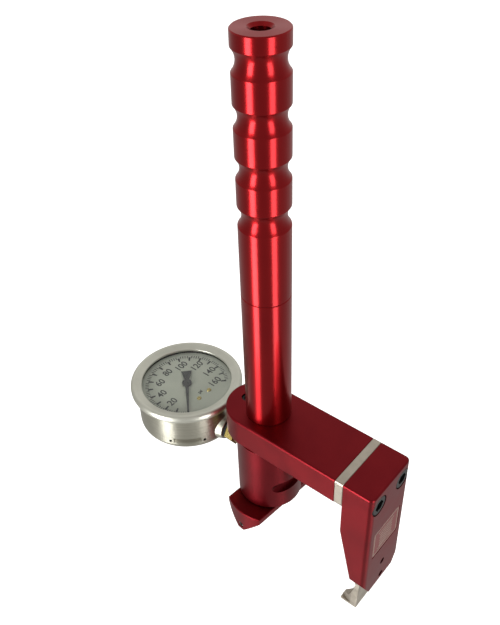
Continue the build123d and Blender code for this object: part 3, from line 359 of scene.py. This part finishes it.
def make_finishes():
    """One material for each slot of the record, and one of its own for the cylinder."""
    gauge_axis = (DIAL_CENTRE.x, 0)
    case = spun_steel("stainless_case_satin", (0.40, 0.39, 0.32, 1), (0.49, 0.475, 0.40, 1),
                      rough=0.30, centre=gauge_axis, spin=0.45)
    # painted shade in the case's stamped recess and on the case's inside, from the recess's foot upwards
    case.deepen(gauge_axis, CASE_R, STAMP_DEPTH, STAMP_FOOT_Z, STAMP_FADE, shade=(0.27, 0.255, 0.20, 1))
    bezel = spun_steel("stainless_bezel_satin", (0.56, 0.56, 0.49, 1), (0.64, 0.64, 0.56, 1),
                       rough=0.36, centre=gauge_axis, spin=0.2)
    return {
        "anodised_turned": red_turned(),
        "anodised_milled": red_milled(),
        "anodised_barrel": red_barrel(),
        "nickel_plate": ground_steel("nickel_plate_satin", (0.40, 0.36, 0.30, 1), (0.48, 0.43, 0.36, 1),
                                     scale=(5200, 260, 5200), rough=0.34),
        "claw_steel": ground_steel("claw_steel_ground", (0.38, 0.34, 0.28, 1), (0.50, 0.45, 0.38, 1),
                                   scale=(300, 4200, 300), rough=0.40),
        "black_oxide": plain_metal("black_oxide_screw", (0.012, 0.012, 0.013, 1), (0.028, 0.027, 0.027, 1),
                                   rough=0.38, grain=5200.0, depth=0.004 * MM, metallic=0.7),
        "plain_steel": plain_metal("plain_steel_turned", (0.42, 0.41, 0.38, 1), (0.55, 0.53, 0.50, 1),
                                   rough=0.30, grain=3200.0, depth=0.003 * MM),
        "stainless_case": case.material,
        "stainless_bezel": bezel.material,
        "window_clear": window_glass(),
        "dial_face": dial_paint(),
        "pointer_black": plain_metal("pointer_black_paint", (0.006, 0.006, 0.007, 1),
                                     (0.012, 0.012, 0.013, 1), rough=0.55, grain=2600.0,
                                     depth=0.002 * MM, metallic=0.0),
        "brass_parts": plain_metal("brass_machined", (0.38, 0.29, 0.085, 1), (0.54, 0.43, 0.15, 1),
                                   rough=0.24, grain=2600.0, depth=0.002 * MM),
        "bronze_tube": plain_metal("bronze_drawn", (0.36, 0.20, 0.10, 1), (0.50, 0.30, 0.16, 1),
                                   rough=0.34, grain=2600.0, depth=0.003 * MM),
        "black_rubber": matt_moulding("rubber_black", (0.010, 0.010, 0.010), rough=0.7, grain=2400.0),
        "wear_plastic": matt_moulding("wear_ring_plastic", (0.55, 0.47, 0.30), rough=0.45, grain=1800.0),
    }


def dress_cad_nodes(finishes):
    """Gives each CAD node the finish of its material slot; the cylinder has its own."""
    for name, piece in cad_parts.items():
        slot = piece.material_slots[0].material.name.split(".")[0]
        key = "anodised_barrel" if name == "cylinder_barrel" else slot
        for holder in piece.material_slots:
            holder.material = finishes[key]
    # lamps reach the dial through the pane
    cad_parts["gauge_window"].visible_shadow = False


# ---------------------------------------------------------------- printed and etched marks
def add_prism(mesh, corners, low, high):
    """Adds a closed prism on flat (x, y) corners, given counter-clockwise, between two heights."""
    bottom = [mesh.verts.new((x, y, low)) for x, y in corners]
    top = [mesh.verts.new((x, y, high)) for x, y in corners]
    mesh.faces.new(top)
    mesh.faces.new(bottom[::-1])
    count = len(corners)
    for n in range(count):
        after = (n + 1) % count
        mesh.faces.new((bottom[n], bottom[after], top[after], top[n]))


def finish_mesh(mesh, name, material, place):
    """Makes an object of the mesh, which place moves into the row frame."""
    mesh.transform(place)
    data = bpy.data.meshes.new(name)
    mesh.to_mesh(data)
    mesh.free()
    data.materials.append(material)
    piece = bpy.data.objects.new(name, data)
    bpy.context.scene.collection.objects.link(piece)
    return piece


def dial_frame():
    """From the dial's own axes, x to 3 o'clock and y to 12 o'clock, to the row frame."""
    turn = Matrix(((0, -1, 0), (1, 0, 0), (0, 0, 1))).to_4x4()
    return Matrix.Translation(DIAL_CENTRE) @ turn


def scale_angle(value):
    """The clockwise angle from 12 o'clock of a value on the scale."""
    return math.radians(SCALE_SWEEP * (value / SCALE_TOP - 0.5))


def on_dial(angle, radius, side=0.0):
    """A point at a radius along a clockwise angle, shifted sideways."""
    x = radius * math.sin(angle) + side * math.cos(angle)
    y = radius * math.cos(angle) - side * math.sin(angle)
    return x, y


def make_ticks(material):
    """Printed marks. The major ones widen towards their outer end."""
    mesh = bmesh.new()
    for value in range(0, SCALE_TOP + 1, MINOR_STEP):
        major = value % MAJOR_STEP == 0
        (inner, outer), (slim, wide) = (MAJOR_R, MAJOR_WIDTH) if major else (MINOR_R, MINOR_WIDTH)
        angle = scale_angle(value)
        corners = [on_dial(angle, inner, -slim / 2), on_dial(angle, inner, slim / 2),
                   on_dial(angle, outer, wide / 2), on_dial(angle, outer, -wide / 2)]
        add_prism(mesh, corners, INK_LIFT, INK_LIFT + INK_THICK)
    return finish_mesh(mesh, "dial_tick_marks", material, dial_frame())


def add_text(mesh, text, height, x, y, squeeze):
    """Adds the letters of text, centred on (x, y), as flat prisms of the given digit height."""
    curve = bpy.data.curves.new("letters", "FONT")
    curve.body = text
    curve.size = height / DIGIT_SHARE
    curve.align_x = "CENTER"
    curve.extrude = INK_THICK / 2
    curve.offset = LETTER_BOLD
    curve.resolution_u = LETTER_STEPS
    letters = bpy.data.objects.new("letters", curve)
    flat = bpy.data.meshes.new_from_object(letters)
    place = Matrix.Translation((x, y - height / 2, INK_LIFT + INK_THICK / 2))
    flat.transform(place @ Matrix.Diagonal((squeeze, 1, 1, 1)))
    mesh.from_mesh(flat)
    bpy.data.meshes.remove(flat)
    bpy.data.objects.remove(letters)
    bpy.data.curves.remove(curve)


def make_numbers(material):
    """The figures of the scale and its unit, upright on the dial."""
    mesh = bmesh.new()
    for value in range(NUMBER_STEP, SCALE_TOP + 1, NUMBER_STEP):
        x, y = on_dial(scale_angle(value), NUMBER_R)
        add_text(mesh, str(value), NUMBER_HEIGHT, x, y, NUMBER_SQUEEZE)
    add_text(mesh, "psi", UNIT_HEIGHT, 0, -UNIT_R, UNIT_SQUEEZE)
    return finish_mesh(mesh, "dial_numbers", material, dial_frame())


def rounded_outline(half_x, half_y, radius):
    """Counter-clockwise corners of a rounded rectangle."""
    points = []
    for turn, (sx, sy) in enumerate(((1, 1), (-1, 1), (-1, -1), (1, -1))):
        for n in range(CORNER_STEPS + 1):
            angle = math.radians(90 * (turn + n / CORNER_STEPS))
            points.append((sx * (half_x - radius) + radius * math.cos(angle),
                           sy * (half_y - radius) + radius * math.sin(angle)))
    return points


def add_band(mesh, outer, inner, low, high):
    """Adds the closed band between two outlines with equal numbers of corners."""
    rings = []
    for outline, height in ((outer, low), (outer, high), (inner, high), (inner, low)):
        rings.append([mesh.verts.new((x, y, height)) for x, y in outline])
    count = len(outer)
    for first, second in zip(rings, rings[1:] + rings[:1]):
        for n in range(count):
            after = (n + 1) % count
            mesh.faces.new((first[n], first[after], second[after], second[n]))


def add_stroke(mesh, start, end, width, low, high):
    """Adds a straight stroke of the given width between two points."""
    run = Vector(end) - Vector(start)
    side = Vector((run.y, -run.x)).normalized() * width / 2
    corners = [Vector(start) + side, Vector(end) + side, Vector(end) - side, Vector(start) - side]
    add_prism(mesh, [tuple(c) for c in corners], low, high)


def panel_frame(lift):
    """From the panel's own axes, x to +Y and y up, to the row frame, lifted off the panel's floor."""
    turn = Matrix(((0, 0, 1), (1, 0, 0), (0, 1, 0))).to_4x4()
    return Matrix.Translation((PANEL_FLOOR_X + lift, 0, PANEL_Z)) @ turn


def make_panel_marks(material):
    """Bare-metal marks in the panel: a border and the side view of a coil spring between two plates."""
    mesh = bmesh.new()
    half_w, half_h = PANEL_WIDTH / 2 - BORDER_INSET, PANEL_HEIGHT / 2 - BORDER_INSET
    outer = rounded_outline(half_w, half_h, BORDER_OUTER_R)
    inner = rounded_outline(half_w - BORDER_WIDTH, half_h - BORDER_WIDTH, BORDER_INNER_R)
    add_band(mesh, outer, inner, 0, ETCH_THICK)
    low = -COILS * COIL_RISE / 2
    for n in range(COILS):
        left = (-COIL_HALF, low + n * COIL_RISE)
        right = (COIL_HALF, low + (n + COIL_CLIMB) * COIL_RISE)
        add_stroke(mesh, left, right, WIRE_WIDTH, 0, ETCH_THICK)
    plate_half = COIL_HALF + PLATE_OVERHANG
    for y in (low - PLATE_DROP, -low + PLATE_CLEARANCE):
        add_stroke(mesh, (-plate_half, y), (plate_half, y), PLATE_WIDTH, 0, ETCH_THICK)
    return finish_mesh(mesh, "etched_panel_marks", material, panel_frame(ETCH_LIFT))


def make_panel_ground(material):
    """The lightly etched floor of the panel, as a thin rounded sheet in the recess."""
    mesh = bmesh.new()
    half_w, half_h = PANEL_WIDTH / 2 - GROUND_GAP, PANEL_HEIGHT / 2 - GROUND_GAP
    add_prism(mesh, rounded_outline(half_w, half_h, GROUND_CORNER_R), 0, GROUND_THICK)
    return finish_mesh(mesh, "etched_panel_ground", material, panel_frame(0))


def make_marks(finishes):
    """The four printed or etched pieces, which ride on the tool's own body."""
    ink = finishes["pointer_black"]
    ground = etched("panel_ground_etch", (0.19, 0.055, 0.055, 1), (0.23, 0.075, 0.072, 1))
    bare = etched("panel_mark_etch", (0.25, 0.17, 0.14, 1), (0.34, 0.24, 0.20, 1))
    marks = [
        (make_ticks(ink), "pointer_black"),
        (make_numbers(ink), "pointer_black"),
        (make_panel_ground(ground), "anodised_milled"),
        (make_panel_marks(bare), "anodised_milled"),
    ]
    for piece, slot in marks:
        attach(piece, "tool")


# ---------------------------------------------------------------- studio
def direction(azimuth, elevation):
    """The unit vector towards an azimuth, counter-clockwise from +X, and an elevation, in degrees."""
    a, e = math.radians(azimuth), math.radians(elevation)
    return Vector((math.cos(a) * math.cos(e), math.sin(a) * math.cos(e), math.sin(e)))


def make_world():
    """A pale room: white behind the object, softly graded where it lights and mirrors in it."""
    world = bpy.data.worlds.new("studio")
    bpy.context.scene.world = world
    world.use_nodes = True
    nodes, links = world.node_tree.nodes, world.node_tree.links
    room = nodes["Background"]
    toward = nodes.new("ShaderNodeTexCoord").outputs["Generated"]

    def facing(azimuth, elevation, start, end, low, high):
        """Low to high as the direction turns towards the given one; start and end are cosines."""
        dot = nodes.new("ShaderNodeVectorMath")
        dot.operation = "DOT_PRODUCT"
        dot.inputs[1].default_value = direction(azimuth, elevation)
        links.new(toward, dot.inputs[0])
        spread = nodes.new("ShaderNodeMapRange")
        spread.interpolation_type = "SMOOTHSTEP"
        set_range(spread, start, end, low, high)
        links.new(dot.outputs["Value"], spread.inputs["Value"])
        return spread.outputs["Result"]

    # brightest high up beyond the object, and a little brighter low down beyond the claw
    high_up = facing(131, 40, start=0.2, end=1.0, low=0.45, high=0.74)
    low_down = facing(49, -39, start=0.1, end=0.95, low=0.0, high=0.06)
    total = nodes.new("ShaderNodeMath")
    total.operation = "ADD"
    links.new(high_up, total.inputs[0])
    links.new(low_down, total.inputs[1])
    links.new(total.outputs["Value"], room.inputs["Strength"])
    room.inputs["Color"].default_value = (1.0, 0.985, 0.955, 1)
    seen = nodes.new("ShaderNodeBackground")
    seen.inputs["Color"].default_value = (1, 1, 1, 1)
    path = nodes.new("ShaderNodeLightPath")
    mixed = nodes.new("ShaderNodeMixShader")
    links.new(path.outputs["Is Camera Ray"], mixed.inputs["Fac"])
    links.new(room.outputs[0], mixed.inputs[1])
    links.new(seen.outputs[0], mixed.inputs[2])
    links.new(mixed.outputs[0], nodes["World Output"].inputs["Surface"])


def make_softbox(name, azimuth, width, power):
    """A rectangular soft light, upright, that faces LAMP_AIM."""
    lamp = bpy.data.lights.new(name, "AREA")
    lamp.shape = "RECTANGLE"
    lamp.size, lamp.size_y = width, LAMP_HEIGHT
    lamp.energy = power
    box = bpy.data.objects.new(name, lamp)
    toward = direction(azimuth, LAMP_ELEVATION)
    box.location = LAMP_AIM + toward * LAMP_DISTANCE
    box.rotation_euler = toward.to_track_quat("Z", "Y").to_euler()
    box.visible_camera = False
    bpy.context.scene.collection.objects.link(box)


def make_floor():
    """A plain white floor under the claw's base. It shows to the camera only, like a lit sweep."""
    mesh = bmesh.new()
    corners = [(x * FLOOR_HALF, y * FLOOR_HALF) for x, y in ((-1, -1), (1, -1), (1, 1), (-1, 1))]
    add_prism(mesh, corners, -FLOOR_THICK, 0)
    look = Finish("floor_white", Roughness=0.9, Specular_IOR_Level=0.1)
    look.tint(look.noise(look.place, 3.0, 2.0), (0.88, 0.88, 0.88, 1), (0.92, 0.92, 0.92, 1))
    look.shader.inputs["Emission Color"].default_value = (1, 1, 1, 1)
    look.shader.inputs["Emission Strength"].default_value = FLOOR_GLOW
    floor = finish_mesh(mesh, "floor", look.material, Matrix.Translation((0, 0, FLOOR_Z - FLOOR_GAP)))
    floor.visible_diffuse = False
    floor.visible_glossy = False
    floor.visible_transmission = False
    floor.visible_shadow = False


def make_camera():
    """Stands level at yaw and pitch, then rolls about its line of sight."""
    back = direction(math.degrees(CAMERA_YAW) - 90, math.degrees(CAMERA_PITCH))
    level = Vector((math.cos(CAMERA_YAW), math.sin(CAMERA_YAW), 0))
    upward = back.cross(level)
    right = level * math.cos(CAMERA_ROLL) + upward * math.sin(CAMERA_ROLL)
    up = upward * math.cos(CAMERA_ROLL) - level * math.sin(CAMERA_ROLL)
    lens = bpy.data.cameras.new("camera")
    lens.lens = CAMERA_LENS
    lens.sensor_width = 36.0
    lens.clip_start = 0.01
    camera = bpy.data.objects.new("camera", lens)
    turn = Matrix((right, up, back)).transposed().to_4x4()
    camera.matrix_world = Matrix.Translation(CAMERA_AT) @ turn
    bpy.context.scene.collection.objects.link(camera)
    bpy.context.scene.camera = camera


def make_studio():
    """The room, the two lamps, the floor and the camera."""
    make_world()
    make_softbox("softbox_front", azimuth=-98, width=0.40, power=19)
    make_softbox("softbox_side", azimuth=-12, width=0.38, power=11)
    make_floor()
    make_camera()
    bpy.context.scene.view_settings.view_transform = "Standard"


# ---------------------------------------------------------------- build
all_finishes = make_finishes()
dress_cad_nodes(all_finishes)
make_marks(all_finishes)
make_studio()
